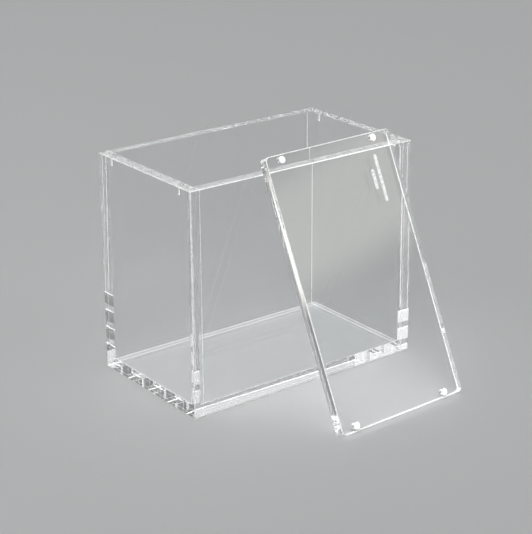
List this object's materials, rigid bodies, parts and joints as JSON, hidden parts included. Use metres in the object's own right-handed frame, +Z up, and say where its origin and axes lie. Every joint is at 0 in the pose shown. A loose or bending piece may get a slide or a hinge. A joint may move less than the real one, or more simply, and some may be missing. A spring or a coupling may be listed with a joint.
{
  "type": "deck box",
  "caption": "Clear acrylic open-topped card box with thick welded walls, magnets set in its rim, and a separate flat magnetic lid leaning against its front.",
  "frame": {"origin": "centre of the underside of the box, on the table", "axes": "+X along the box's long side to the right wall, +Y from the front wall to the back wall, +Z up; the lid leans on the front wall from the -Y side"},
  "size_m": [0.154, 0.1594, 0.1418],
  "materials": {
    "acrylic": "clear, polished edges",
    "nickel": "nickel plated, fine satin",
    "adhesive": "clear cured bead"
  },
  "bodies": {
    "box": {"base_panel": "acrylic", "front_wall": "acrylic", "back_wall": "acrylic", "left_wall": "acrylic", "right_wall": "acrylic", "rim_magnet_front_left": "nickel", "rim_magnet_front_right": "nickel", "rim_magnet_back_left": "nickel", "rim_magnet_back_right": "nickel", "rim_glue_front_left": "adhesive", "rim_glue_front_right": "adhesive", "rim_glue_back_left": "adhesive", "rim_glue_back_right": "adhesive"},
    "lid": {"lid_panel": "acrylic", "lid_magnet_lower_left": "nickel", "lid_magnet_lower_right": "nickel", "lid_magnet_upper_left": "nickel", "lid_magnet_upper_right": "nickel", "lid_glue_lower_left": "adhesive", "lid_glue_lower_right": "adhesive", "lid_glue_upper_left": "adhesive", "lid_glue_upper_right": "adhesive"}
  },
  "joints": [
    {"name": "lid_tip", "type": "hinge", "parent": "box", "child": "lid", "pos_m": [-0.0293, -0.11465, 0.00237], "axis": [0.9994, 0.0349, 0], "range_deg": [0, 115.8]}
  ]
}
